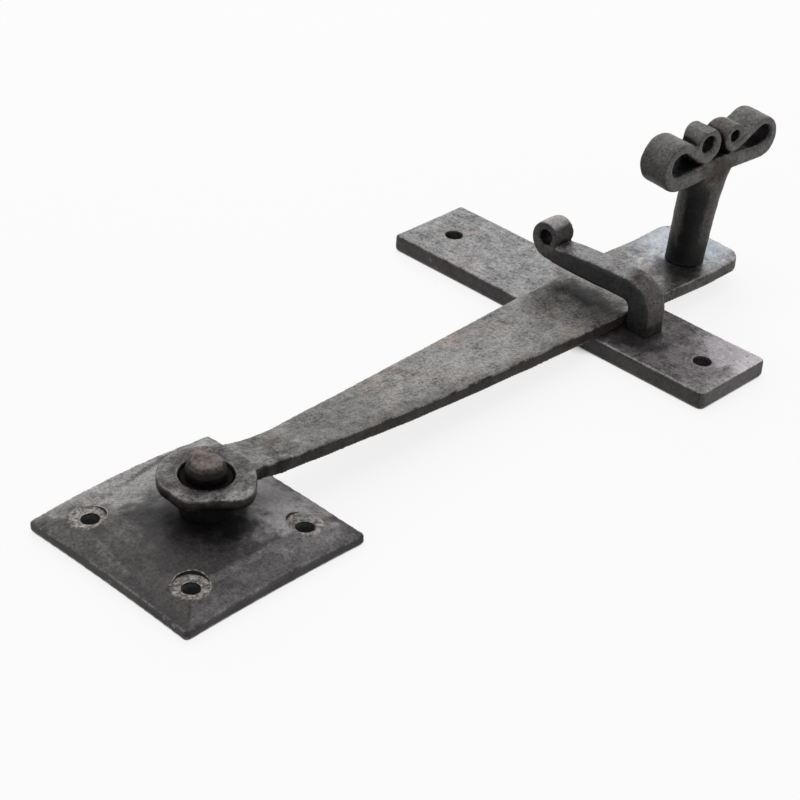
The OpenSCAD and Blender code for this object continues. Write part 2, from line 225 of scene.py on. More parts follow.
def bend(piece, path):
    """Bends a straight blank along a path in the XY plane."""
    curve = bpy.data.curves.new("jig", "CURVE")
    curve.dimensions = "2D"
    line = curve.splines.new("POLY")
    line.points.add(len(path) - 1)
    for point, place in zip(line.points, path):
        point.co = (place[0], place[1], 0, 1)
    jig = bpy.data.objects.new("jig", curve)
    bpy.context.scene.collection.objects.link(jig)
    work(piece, "CURVE", object=jig, deform_axis="POS_X")
    bpy.data.objects.remove(jig)
    bpy.data.curves.remove(curve)
    return piece


def turned(piece, turn=(0, 0, 0), place=(0, 0, 0), size=(1, 1, 1)):
    """Turns, sizes and moves a piece, and keeps the result in its mesh."""
    hold(piece)
    piece.rotation_euler = [math.radians(a) for a in turn]
    piece.location, piece.scale = place, size
    bpy.ops.object.transform_apply(location=True, rotation=True, scale=True)
    return piece


def hammer(piece, grain, soften, dents, above):
    """Gives a blank its forged skin: an even mesh of one grain, softened arrises and hammer marks.
    The mesh is laid slantwise to the piece, so that its steps don't line up with the arrises.
    A dent is (pattern, size, depth); the marks only sink in, and spare what lies below a height."""
    for turn in SLANT:
        turned(piece, turn=turn)
    work(piece, "REMESH", mode="VOXEL", voxel_size=grain)
    for turn in SLANT_BACK:
        turned(piece, turn=turn)
    work(piece, "SMOOTH", factor=0.5, iterations=soften)
    work(piece, "DISPLACE", strength=0.1, mid_level=0.0)  # what the softening took off
    marked = piece.vertex_groups.new(name="hammered")
    for point in piece.data.vertices:
        marked.add([point.index], ease((point.co.z - above) / 0.8), "REPLACE")
    for pattern, size, depth in dents:
        mark = bpy.data.textures.new("mark", pattern)
        mark.noise_scale = size
        if pattern == "CLOUDS":
            mark.noise_depth = 2
        work(piece, "DISPLACE", texture=mark, texture_coords="LOCAL", strength=depth,
             mid_level=0.62, vertex_group="hammered")
        bpy.data.textures.remove(mark)
    piece.vertex_groups.clear()
    return piece


def keep(piece, name, numbers):
    """Keeps a number with each point of a piece, for its finish to read."""
    piece.data.attributes.new(name, "FLOAT", "POINT").data.foreach_set("value", numbers)


def closed_in(piece, above, reach=14.0, count=28):
    """Keeps with each point above a height how closed in it is, for painted shade in the hollows."""
    mesh = piece.data
    skin = BVHTree.FromPolygons([v.co for v in mesh.vertices], [p.vertices for p in mesh.polygons])
    rays = []
    for i in range(count):
        z = 1 - (2 * i + 1) / count
        turn, out = i * math.pi * (3 - math.sqrt(5)), math.sqrt(1 - z * z)
        rays.append(Vector((out * math.cos(turn), out * math.sin(turn), z)))
    kept = [0.0] * len(mesh.vertices)
    for i, point in enumerate(mesh.vertices):
        if point.co.z > above:
            open_rays = [ray for ray in rays if ray.dot(point.normal) > 0.2]
            start_at = point.co + point.normal * 0.05
            stopped = [ray for ray in open_rays if skin.ray_cast(start_at, ray, reach)[0]]
            kept[i] = len(stopped) / len(open_rays)
    for _ in range(3):  # softened over each point's neighbours
        total, near = kept[:], [1] * len(kept)
        for edge in mesh.edges:
            a, b = edge.vertices
            total[a] += kept[b]
            total[b] += kept[a]
            near[a] += 1
            near[b] += 1
        kept = [t / n for t, n in zip(total, near)]
    keep(piece, "closed", kept)
    return piece


def settle(piece, node, body, finish, crisp=False):
    """Brings a finished piece to metres, dresses it and sets it in the frame."""
    turned(piece, size=(MM, MM, MM))
    for point in piece.data.vertices:
        point.co = [min(max(c, a), b) for c, a, b in zip(point.co, *cad_box)]
    hold(piece)
    bpy.ops.object.shade_smooth()
    if crisp:
        bpy.ops.object.shade_smooth_by_angle(angle=math.radians(32))
    piece.data.materials.clear()
    piece.data.materials.append(finish)
    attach(piece, body)
    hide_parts(node)


# --- finishes ---------------------------------------------------------------------------------

class Line:
    """One socket of a finish; a sum written with it adds its Math node."""

    def __init__(self, finish, socket):
        self.finish, self.socket = finish, socket

    def sum(self, way, a, b):
        return self.finish.node("ShaderNodeMath", {"operation": way}, {0: a, 1: b})

    def __add__(self, other):
        return self.sum("ADD", self, other)

    def __radd__(self, other):
        return self.sum("ADD", other, self)

    def __sub__(self, other):
        return self.sum("SUBTRACT", self, other)

    def __rsub__(self, other):
        return self.sum("SUBTRACT", other, self)

    def __mul__(self, other):
        return self.sum("MULTIPLY", self, other)

    def __rmul__(self, other):
        return self.sum("MULTIPLY", other, self)

    def between(self, low, high):
        """0 below low, 1 above high and smooth between."""
        return self.finish.node("ShaderNodeMapRange", {"interpolation_type": "SMOOTHSTEP"},
                                {"Value": self, "From Min": low, "From Max": high})


class Finish:
    """A material, or the world, and the nodes that make it."""

    def __init__(self, owner):
        owner.use_nodes = True
        self.owner, self.tree = owner, owner.node_tree
        self.tree.nodes.clear()

    def node(self, kind, settings, inputs, out=0):
        """Adds a node, sets it, then gives its sockets their values or links."""
        made = self.tree.nodes.new(kind)
        for name, value in settings.items():
            setattr(made, name, value)
        for key, value in inputs.items():
            if isinstance(value, Line):
                self.tree.links.new(value.socket, made.inputs[key])
            else:
                made.inputs[key].default_value = value
        return Line(self, made.outputs[out]) if made.outputs else None

    def white_for_view(self):
        """1 for rays that see the background or mirror it, 0 for rays that light the object."""
        seen = self.node("ShaderNodeLightPath", {}, {}, out="Is Camera Ray")
        for other in ("Is Glossy Ray", "Is Transmission Ray"):
            seen = seen.sum("MAXIMUM", seen, self.node("ShaderNodeLightPath", {}, {}, out=other))
        return seen


class Iron(Finish):
    """The finish of a forged piece, laid out over it in millimetres."""

    def __init__(self, name):
        super().__init__(bpy.data.materials.new(name))
        place = self.node("ShaderNodeTexCoord", {}, {}, out="Object")
        self.spot = self.shade(place, 1 / MM)
        self.normal = self.node("ShaderNodeTexCoord", {}, {}, out="Normal")
        self.upward = self.facing((0, 0, 1))

    def cloud(self, size, detail=3.0, rough=0.55, shift=0.0, stretch=None):
        """Soft noise with forms of about one size, in millimetres."""
        place = self.node("ShaderNodeMapping", {}, {0: self.spot, 1: (shift, 2 * shift, 3 * shift),
                                                    3: stretch or (1, 1, 1)})
        return self.node("ShaderNodeTexNoise", {}, {"Vector": place, "Scale": 1 / size,
                                                    "Detail": detail, "Roughness": rough})

    def pits(self, size, reach, shift=0.0):
        """Small round pits, one in each cell of about one size; 1 in the pit."""
        place = self.node("ShaderNodeMapping", {}, {0: self.spot, 1: (shift, shift, shift)})
        far = self.node("ShaderNodeTexVoronoi", {}, {"Vector": place, "Scale": 1 / size})
        return 1 - far.between(reach * 0.5, reach)

    def facing(self, direction):
        """1 where the skin faces straight along a direction, 0 where it lies square to it."""
        return self.node("ShaderNodeVectorMath", {"operation": "DOT_PRODUCT"},
                         {0: self.normal, 1: direction}, out=1)

    def kept(self, name):
        """A number that the piece keeps with each of its points; 0 where it keeps none."""
        return self.node("ShaderNodeAttribute", {"attribute_name": name}, {}, out="Fac")

    def patch(self, place, reach, ragged=0.35):
        """1 in a ragged patch about a place, 0 beyond its reach, which is given along x, y and z."""
        away = self.node("ShaderNodeVectorMath", {"operation": "SUBTRACT"}, {0: self.spot, 1: place})
        away = self.node("ShaderNodeVectorMath", {"operation": "DIVIDE"}, {0: away, 1: reach})
        away = self.node("ShaderNodeVectorMath", {"operation": "LENGTH"}, {0: away}, out=1)
        return 1 - (away + (self.cloud(5, shift=place[0]) - 0.5) * ragged * 4).between(0.45, 1.15)

    def tone(self, share, a, b):
        """From colour a to colour b by a share."""
        a, b = [(*c, 1) if isinstance(c, tuple) else c for c in (a, b)]
        return self.node("ShaderNodeMix", {"data_type": "RGBA"}, {0: share, 6: a, 7: b}, out=2)

    def shade(self, colour, by):
        """A colour made lighter or darker by a number."""
        return self.node("ShaderNodeVectorMath", {"operation": "SCALE"}, {0: colour, "Scale": by})


def forged_iron(name, scale, brushed_and_lit, from_up, to_up, seed, washes_light_and_shade=(), stains_and_shade=(), sides=(),
                warm=0.4, worn=0.6, gloss=(0.4, 0.5), metal=0.0, shine=0.3, rub_along=(1, 1, 1)):
    """Waxed black iron: dark scale on its sides, bare from brushing and lighter where it faces up.
    This split by facing is partly real, and partly painted light on the tops
    and painted shade on the sides.
    A stain or a wash is (place, reach, colour, strength); a wash lies only on what faces up.
    Some of each kind are real rust and marks, and the rest painted light and shade, named where given.
    A side is (direction, from, to, colour, place, reach): a tone for what faces that way there,
    which is painted light and shade by facing.
    rub_along draws the brush marks out; the seed sets each piece's marks apart."""
    iron = Iron(name)
    broad = iron.cloud(16, detail=4, shift=11 + seed)
    blotch = iron.cloud(5.5, detail=4, shift=23 + seed)
    grain = iron.cloud(1.5, detail=3, rough=0.65, shift=37 + seed)
    speck = iron.cloud(0.8, detail=2, rough=0.7, shift=41 + seed)
    marks = iron.cloud(0.9, detail=2, shift=47 + seed, stretch=rub_along)
    # partly real, partly painted light and shade: what faces up takes the lighter tone, sides the dark
    up = (iron.upward + (blotch - 0.5) * 0.18).between(from_up, to_up)
    colour = iron.tone(up, scale, brushed_and_lit)
    rust = iron.cloud(19, detail=3, shift=59 + seed).between(0.5, 0.7) * warm
    browned = [tuple(c * k for c, k in zip(tone, (1.12, 0.86, 0.72))) for tone in (scale, brushed_and_lit)]
    colour = iron.tone(rust, colour, iron.tone(up, *browned))
    uneven = 1.0
    # washes: real tone and rust, and painted light and shade, each named where it is given
    for place, reach, wash, strength in washes_light_and_shade:
        share = iron.patch(place, reach) * up * strength
        colour = iron.tone(share, colour, wash)
        if min(wash) > 0.3:  # the brightest washes, some of them painted reflections, are the most even
            uneven = uneven - share * 0.55
    # painted light and shade: a tone by the way a face points, about a place
    for direction, low, high, tone, place, reach in sides:
        share = (iron.facing(direction) + (blotch - 0.5) * 0.06).between(low, high)
        colour = iron.tone(share * iron.patch(place, reach, ragged=0.12), colour, tone)
    level = 1 + uneven * ((broad - 0.5) * 0.9 + (blotch - 0.5) * 1.3 + (grain - 0.5) * 1.8
                          + (speck - 0.5) * 2.0 + (marks - 0.5) * 0.8)
    level = level.sum("MAXIMUM", level, 0.12)
    colour = iron.shade(colour, level)
    pit = iron.pits(4.5, 0.16, shift=seed) * iron.cloud(9, shift=83 + seed).between(0.5, 0.62) * 0.7
    colour = iron.tone(pit, colour, PIT_AND_BORE_SHADE)
    edge = iron.node("ShaderNodeNewGeometry", {}, {}, out="Pointiness").between(0.515, 0.55)
    rub = edge * blotch.between(0.38, 0.6) * worn
    colour = iron.tone(rub, colour, RUBBED)
    # stains: real rust, and painted shade in hollows and under things, each named where given
    for place, reach, stain, strength in stains_and_shade:
        colour = iron.tone(iron.patch(place, reach) * strength, colour, iron.shade(stain, level))
    # painted shade: near black where a point is closed in
    colour = iron.tone(iron.kept("closed").between(0.3, 0.58) * 0.96, colour, PAINTED_HOLLOW_SHADE)
    # bare metal in the plate's sinks, lighter only where it faces up: partly real, partly painted light
    bare = iron.kept("bare") * (iron.upward + (blotch - 0.5) * 0.9).between(0.5, 0.9)
    bare = bare * (0.35 + 0.65 * grain.between(0.38, 0.6))
    colour = iron.tone(bare, colour, iron.shade(BARE_AND_LIT, level))
    rough = gloss[0] + (gloss[1] - gloss[0]) * (1 - up) + (grain - 0.5) * 0.25
    skin = iron.cloud(2.6, detail=3, shift=91 + seed) * 0.6 + grain * 0.25 + speck * 0.12 - pit * 0.5
    lift = iron.node("ShaderNodeBump", {}, {"Strength": 0.6, "Distance": 0.25 * MM, "Height": skin})
    made = iron.node("ShaderNodeBsdfPrincipled", {}, {
        "Base Color": colour, "Roughness": rough, "Metallic": up * metal, "Normal": lift,
        "Specular IOR Level": shine, "IOR": 1.5})
    iron.node("ShaderNodeOutputMaterial", {}, {"Surface": made})
    return iron.owner


# --- the pivot: plate, stud, collar and washer ------------------------------------------------

def pivot_plate():
    """A square plate worked up in two slopes to a flat crown, hollow behind, with four sunk holes."""
    half = PLATE / 2
    piece = start("forged_pivot_plate", bpy.ops.mesh.primitive_cube_add, size=1,
                  scale=(PLATE, PLATE, RIM), location=(0, 0, RIM / 2))
    pick(lambda at, out: out.z > 0.9)
    crease = half - CREASE_INSET
    draw_on((0, 0, CREASE - RIM), (crease / half, crease / half, 1), (0, 0, CREASE))
    draw_on((STUD_X, 0, CROWN - CREASE), (CROWN_HALF / crease, CROWN_HALF / crease, 1),
            (STUD_X, 0, CROWN))
    pick_edges(lambda at, run: at.z < RIM and abs(run.z) > 1)
    bpy.ops.mesh.bevel(offset=PLATE_CORNER, segments=3, affect="EDGES")
    bpy.ops.mesh.select_all(action="SELECT")
    bpy.ops.mesh.subdivide(number_cuts=11)
    # the rims draw in a little between their corners, and three of them rise
    flat = half - PLATE_CORNER
    for along_x, side, rise, slack in ((True, 1, 2.4, 0.3), (True, -1, 1.1, 0.7),
                                       (False, 1, 0.0, -0.3), (False, -1, 0.6, 0.6)):
        for run in [mix(-flat, flat, i / 12) for i in range(1, 12)]:
            arch = 1 - (run / flat) ** 2
            draw_in = -side * slack * arch

            def on_rim(at, low=-1):
                across, by = (at.y, at.x) if along_x else (at.x, at.y)
                return abs(across - side * half) < 0.1 and abs(by - run) < 0.1 and at.z > low

            if rise:
                pick(lambda at, out: on_rim(at, low=RIM - 0.1), "VERT")
                bpy.ops.transform.translate(value=(0, 0, rise * arch))
            pick(lambda at, out: on_rim(at), "VERT")
            bpy.ops.transform.translate(value=(0, draw_in, 0) if along_x else (draw_in, 0, 0))
    pick(lambda at, out: max(abs(at.x), abs(at.y)) < half - 5 and at.z > RIM, "VERT")
    bpy.ops.mesh.vertices_smooth(factor=0.35, repeat=1)
    bench()
    hollow = start("hollow", bpy.ops.mesh.primitive_cube_add, size=2,
                   scale=(HOLLOW_HALF, HOLLOW_HALF, 2.35), location=(0, 0, 1.35))
    pick(lambda at, out: out.z > 0.9)
    draw_on((STUD_X, 0, CROWN - CREASE), (CROWN_HALF / HOLLOW_HALF,) * 2 + (1,),
            (STUD_X, 0, CROWN - CROWN_WALL))
    bench()
    cut(piece, hollow)
    punch(piece, STUD_X, 0, -1, CROWN + 1, SHANK + 0.4)
    # each hole's corner of the plate, and how far its sink was cut off the middle of its bore
    off_bore = ((-1, -1, 0.2, 0.2), (-1, 1, -0.5, 0.7), (1, -1, 1.0, 1.2), (1, 1, 0, 0))
    for x, y, _, _ in off_bore:
        punch(piece, x * SCREWS / 2, y * SCREWS / 2, -1, CROWN + 1, SCREW_BORE + 0.2)
    hammer(piece, grain=0.55, soften=2, dents=[("CLOUDS", 16, 0.5), ("CLOUDS", 5, 0.12)], above=1.0)
    # the sinks are cut straight down into the slopes: a steep wall uphill, a bare dished floor
    sinks = [(x * SCREWS / 2 + a, y * SCREWS / 2 + b) for x, y, a, b in off_bore]
    for x, y in sinks:
        cut(piece, drawn("drift", [(x, y, z, wide, wide) for z, wide in (
            (CREASE - 1.75, 5.6), (CREASE - 1.2, SINK_WIDTH - 0.8), (CREASE - 0.8, SINK_WIDTH + 0.4),
            (CROWN + 1, SINK_WIDTH + 1.6))], along="z", sides=48))
    sunk = [float(any(math.dist(v.co[:2], sink) < SINK_WIDTH / 2 + 0.7 and v.co.z > CREASE - 2.2
                      for sink in sinks)) for v in piece.data.vertices]
    # the sinks take painted shade, and their floors bare metal that is partly painted light
    keep(piece, "closed", sunk)
    keep(piece, "bare", sunk)
    return piece


def pivot_stud():
    """A stud riveted behind the plate, its head hammered to a flat with soft facets."""
    rivet_top = CROWN - CROWN_WALL
    head_low = WASHER_LOW + WASHER_THICK
    turned_profile = [
        (rivet_top - RIVET_HEIGHT, RIVET - 4.8), (rivet_top - RIVET_HEIGHT + 0.8, RIVET - 1.6),
        (rivet_top - 0.8, RIVET), (rivet_top, RIVET), (rivet_top, SHANK), (head_low, SHANK),
        (head_low, HEAD - 0.8), (head_low + 0.8, HEAD - 0.2), (head_low + HEAD_HEIGHT * 0.5, HEAD),
        (head_low + HEAD_HEIGHT * 0.76, HEAD - 1.2), (head_low + HEAD_HEIGHT * 0.93, HEAD_FLAT + 4.6),
        (head_low + HEAD_HEIGHT, HEAD_FLAT + 3.4)]
    piece = drawn("forged_stud", [(STUD_X, 0, z + (0.02 if i in (4, 6) else 0), wide, wide)
                                  for i, (z, wide) in enumerate(turned_profile)], along="z", sides=40)
    hammer(piece, grain=0.3, soften=3, dents=[("VORONOI", 4.4, 0.5), ("CLOUDS", 1.8, 0.1)],
           above=head_low + 0.2)
    return piece


def ring(name, low, high, wide, bore):
    """A plain forged ring with its arrises broken."""
    piece = start(name, bpy.ops.mesh.primitive_cylinder_add, vertices=72, radius=wide / 2,
                  depth=high - low, location=(STUD_X, 0, (low + high) / 2))
    pick(lambda at, out: abs(out.z) > 0.9)
    bpy.ops.mesh.bevel(offset=0.35, segments=2, affect="EDGES")
    bench()
    return punch(piece, STUD_X, 0, low - 1, high + 1, bore)


def pivot_collar():
    """The ring that lifts the bar's eye off the plate."""
    top = CROWN + COLLAR_HEIGHT
    return hammer(ring("forged_collar", CROWN, top, COLLAR, SHANK + 0.2),
                  grain=0.45, soften=2, dents=[("CLOUDS", 5, 0.2)], above=CROWN + 0.4)


def pivot_washer():
    """The thin ring sunk in the eye, under the stud's head."""
    return hammer(ring("forged_washer", WASHER_LOW, WASHER_LOW + WASHER_THICK, WASHER, SHANK + 0.2),
                  grain=0.3, soften=2, dents=[("CLOUDS", 3, 0.1)], above=WASHER_LOW + 0.4)


# --- the bar ----------------------------------------------------------------------------------

def half_width(x):
    u = min(1.0, max(0.0, (x - NECK_END) / (BAR_REACH - NECK_END - END_CORNER)))
    full = mix(NECK, BROAD, 1 - (1 - u) ** BROADEN)
    fillet = math.sqrt((EYE / 2) ** 2 - SHOULDER ** 2) - NECK / 2
    return full / 2 + fillet * max(0, 1 - (x - SHOULDER) / FILLET) ** 2


def top_height(x):
    s = min(1.0, max(0.0, (x - SHOULDER) / (BOW_END - SHOULDER)))
    return BAR_TOP + BAR_BOW * (1 - s) ** 2 + EYE_STEP * (1 - ease((x - SHOULDER) / STEP))


def latch_bar():
    """A flat bar drawn out from its eye: narrow at the neck, broad and round-ended past the hook."""
    stations = []

    def station(x, half):
        sway = 1.1 * bump(x, 168, 105) - 0.6 * bump(x, 38, 26)
        sway = sway - END_SET * ease((x - BOW_END - 3) / 28)
        stations.append((x, sway, top_height(x) - BAR_THICK / 2, 2 * half, BAR_THICK))

    straight_end = BAR_REACH - END_CORNER - END_BULGE
    count = 76
    for i in range(count):
        x = mix(SHOULDER - 3, straight_end, i / count)
        station(x, half_width(max(x, SHOULDER)))
    full = half_width(BAR_REACH)
    for i in range(13):
        a = math.radians(90 - 7.5 * i)
        station(straight_end + END_CORNER * math.cos(a) + 0.001 * i,
                mix(half_width(straight_end), full, i / 12) - END_CORNER * (1 - math.sin(a)))
    for t in (0.3, 0.6, 0.85, 0.97):
        station(BAR_REACH - END_BULGE + END_BULGE * (2 * t - t * t),
                (full - END_CORNER) * (1 - t) + 0.4)
    piece = drawn("forged_bar", stations)
    eye = start("eye", bpy.ops.mesh.primitive_cylinder_add, vertices=112, radius=EYE / 2,
                depth=BAR_THICK, location=(0, 0, EYE_LOW + BAR_THICK / 2))
    # the eye was forged a little out of round, with a full corner toward the plate's near edge
    for angle, out, reach in ((-86, 2.5, 12), (-128, -0.7, 8), (-161, 0.6, 6), (179, -0.5, 6)):
        a = math.radians(angle)
        way = Vector((math.cos(a), math.sin(a), 0))
        pick(lambda at, _: (at - way * EYE / 2).xy.length < 1.0, "VERT")
        bpy.ops.transform.translate(value=way * out,
                                    use_proportional_edit=True, proportional_edit_falloff="SMOOTH",
                                    proportional_size=reach)
    pick(lambda at, out: out.z < -0.9)
    bpy.ops.mesh.bevel(offset=1.5, segments=2, affect="EDGES")
    pick(lambda at, out: out.z > 0.9)
    bpy.ops.mesh.bevel(offset=0.7, segments=2, affect="EDGES")
    bench()
    weld(piece, eye)
    punch(piece, 0, 0, EYE_LOW - 1, EYE_TOP + 1, SHANK + 0.8)
    punch(piece, 0, 0, SINK_FLOOR, EYE_TOP + 1, WASHER + 0.8, WASHER + 1.4)
    punch(piece, POST_X, POST_Y, BAR_LOW - 1, BAR_TOP + 1, TENON + 0.3)
    hammer(piece, grain=0.55, soften=3, dents=[("CLOUDS", 24, 0.5), ("CLOUDS", 7, 0.06)], above=5)
    return turned(piece, turn=(0, 0, BAR_TURN), place=(STUD_X, 0, 0))


# --- the ram's-horn handle --------------------------------------------------------------------

def evenly(path, spacing=0.6):
    """The same path with points at an even spacing, and its length."""
    lengths = [0.0]
    for a, b in zip(path, path[1:]):
        lengths.append(lengths[-1] + math.dist(a[:2], b[:2]))
    count = int(lengths[-1] / spacing)
    even, k = [], 0
    for i in range(count + 1):
        want = lengths[-1] * i / count
        while k < len(lengths) - 2 and lengths[k + 1] < want:
            k += 1
        t = (want - lengths[k]) / max(1e-9, lengths[k + 1] - lengths[k])
        even.append(tuple(mix(a, b, t) for a, b in zip(path[k], path[k + 1])))
    return even, lengths[-1]


def strap(name, path, corner):
    """A tapered strap drawn straight through the sizes of its path, then bent along it.
    A path point is (place, height, width, thickness, side), where side sets it over to one edge."""
    even, length = evenly(path)
    stations = [(length * i / (len(even) - 1), 0, p[4], p[3], p[2]) for i, p in enumerate(even)]
    piece = drawn(name, stations, corner=corner)
    return bend(piece, [p[:2] for p in even])


def horn_path(reach, radius, fall, rise, small, tip, tip_wide, thin):
    """Half of the horns: the arm, up round the big loop, across and back into the small scroll."""
    loop, curl = Vector((reach, radius - fall)), Vector((CURL_REACH, radius - fall + rise))
    wide, gap = STRAP_LOOP, curl - loop
    cross = math.atan2(gap.y, gap.x) - math.acos((radius + small) / gap.length)
    cross += 2 * math.pi if cross < 0 else 0
    path = [(mix(-2, reach, t), -fall * ease(t), mix(STRAP, wide, t),
             mix(ARM_THICK, LOOP_FOOT_THICK, ease(t)), 0) for t in [i / 20 for i in range(20)]]
    for i in range(61):
        t = i / 60
        a = mix(-math.pi / 2, cross, t)
        path.append((loop.x + radius * math.cos(a), loop.y + radius * math.sin(a), wide,
                     mix(LOOP_FOOT_THICK, thin, ease(1.6 * t)), 0))
    for i in range(1, 91):
        t = i / 90
        a = mix(cross + math.pi, math.radians(-195), t)
        r = mix(small, tip, t ** 1.2)
        narrow = mix(wide, tip_wide, ease(1.3 * t))
        path.append((curl.x + r * math.cos(a), curl.y + r * math.sin(a), narrow,
                     mix(thin, CURL_TIP_THICK, min(1, 2 * t)), (wide - narrow) * 0.42))
    return path


def horn_handle():
    """A round post, tenoned through the bar, split above into two straps scrolled as a ram's horns."""
    lean = math.tan(math.radians(POST_LEAN)) * HORN_HEIGHT
    stations = [(0, 0, -BAR_THICK, TENON, TENON), (0, 0, 0, TENON, TENON), (0, 0, 0.05, POST, POST)]
    for i in range(1, 25):
        t = i / 24
        swell = mix(POST, POST_TOP - 0.7, ease(t / 0.8))
        stations.append((lean * t + 2.4 * t ** 6, 0, HORN_HEIGHT * t,
                         swell + (FLARE + 3 - POST_TOP) * t ** 7, swell - (POST_TOP - STRAP) * t ** 8))
    piece = drawn("forged_horns", stations, along="z", sides=36)
    far, near = (23.9, 6.6, 0.5, 3.9, 4.7, 3.1, 6.0, 3.2), (21.9, 7.5, 2.6, 5.5, 5.8, 4.0, 8.5, 4.2)
    for side, form in ((1, far), (-1, near)):
        horn = strap("horn", horn_path(*form), corner=1.7)
        turned(horn, turn=(90, 0, 0))
        turned(horn, size=(side, 1, 1))
        hold(horn)
        bpy.ops.object.mode_set(mode="EDIT")
        bpy.ops.mesh.select_all(action="SELECT")
        bpy.ops.mesh.normals_make_consistent(inside=False)
        turned(horn, place=(lean, 0, HORN_HEIGHT))
        weld(piece, horn)
    hammer(piece, grain=0.42, soften=3, dents=[("CLOUDS", 6, 0.4), ("CLOUDS", 2, 0.14)], above=0.5)
    closed_in(piece, above=HORN_HEIGHT - 10)
    turned(piece, turn=(0, 0, -HORN_TURN))
    turned(piece, place=(POST_X, POST_Y, BAR_TOP))
    return turned(piece, turn=(0, 0, BAR_TURN), place=(STUD_X, 0, 0))


# --- the keeper and its hook ------------------------------------------------------------------

def keeper_plate():
    """A thick flat with broken arrises, a plain hole near each end and the hook's tenon hole."""
    piece = start("forged_keeper", bpy.ops.mesh.primitive_cube_add, size=1,
                  scale=(KEEPER_WIDE, KEEPER_LONG, KEEPER), location=(KEEPER_X, KEEPER_Y, KEEPER / 2))
    bpy.ops.mesh.subdivide(number_cuts=7)
    for end, side, cut in ((1, -1, 0.9), (1, 1, -1.2), (-1, 1, 0.1)):
        for run in (0.25, 0.5, 0.75, 1):
            y = KEEPER_Y + end * KEEPER_LONG / 2 * run
            pick(lambda at, out: abs(at.y - y) < 0.1
                 and (at.x - KEEPER_X) * side > KEEPER_WIDE / 2 - 0.1, "VERT")
            bpy.ops.transform.translate(value=(-side * cut * ease(3 * run), 0, 0))
    for end, corner in ((1, 1.4), (-1, 2.2)):
        pick_edges(lambda at, run: abs(run.z) > 0.1 and abs(at.x - KEEPER_X) > KEEPER_WIDE / 2 - 2
                   and (at.y - KEEPER_Y) * end > KEEPER_LONG / 2 - 0.1)
        bpy.ops.mesh.bevel(offset=corner, segments=4, affect="EDGES")
    bench()
    work(piece, "BEVEL", width=0.7, segments=2, limit_method="ANGLE", angle_limit=math.radians(35))
    for y in (-1, 1):
        punch(piece, KEEPER_X, KEEPER_Y + y * KEEPER_SCREWS / 2, -1, KEEPER + 1, KEEPER_BORE)
    punch(piece, HOOK_X, HOOK_Y, -1, KEEPER + 1, HOOK_TENON + 0.3)
    hammer(piece, grain=0.6, soften=2, dents=[("CLOUDS", 20, 0.5), ("CLOUDS", 6, 0.1)], above=0.8)
    return piece


def hook_path():
    """The hook in its own plane: up the leg, round the bend, along the arm and up into the scroll."""
    scroll = Vector((SCROLL_REACH, ARM_HEIGHT - ARM_DROP + SCROLL))
    path = [(0, (ARM_HEIGHT - BEND) * i / 10, LEG, LEG, 0) for i in range(10)]
    for i in range(25):
        t = i / 24
        a = math.radians(180 - 90 * t)
        path.append((BEND + BEND * math.cos(a), ARM_HEIGHT - BEND + BEND * math.sin(a),
                     mix(LEG, ARM_WIDE, t), mix(LEG, ARM_DEEP, ease(t)), 0))
    for i in range(1, 40):
        t = i / 40
        path.append((mix(BEND, SCROLL_REACH, t), ARM_HEIGHT - ARM_DROP * ease(t), ARM_WIDE,
                     mix(ARM_DEEP, SCROLL_DEEP, t ** 3), 0))
    for i in range(91):
        t = i / 90
        a = math.radians(mix(-90, 228, t))
        r = mix(SCROLL, SCROLL_TIP, t)
        path.append((scroll.x + r * math.cos(a), scroll.y + r * math.sin(a),
                     mix(ARM_WIDE, SCROLL_WIDE, ease(2 * t)),
                     mix(3.7, 3.0, t) + 2.1 * (1 - min(1, 2.2 * t)) ** 2, 0))
    return path


def keeper_hook():
    """Square stock tenoned into the keeper, bent over the bar and drawn out to a scroll."""
    piece = strap("forged_hook", hook_path(), corner=1.8)
    turned(piece, turn=(90, 0, 0))
    turned(piece, turn=(0, 0, 90))
    tenon = drawn("tenon", [(0, 0, -KEEPER, HOOK_TENON, HOOK_TENON), (0, 0, 1, HOOK_TENON, HOOK_TENON)],
                  along="z", sides=32)
    weld(piece, tenon)
    hammer(piece, grain=0.4, soften=4, dents=[("CLOUDS", 7, 0.4), ("CLOUDS", 2, 0.12)], above=0.5)
    closed_in(piece, above=10)
    return turned(piece, place=(HOOK_X, HOOK_Y, KEEPER))


# --- dressing ---------------------------------------------------------------------------------

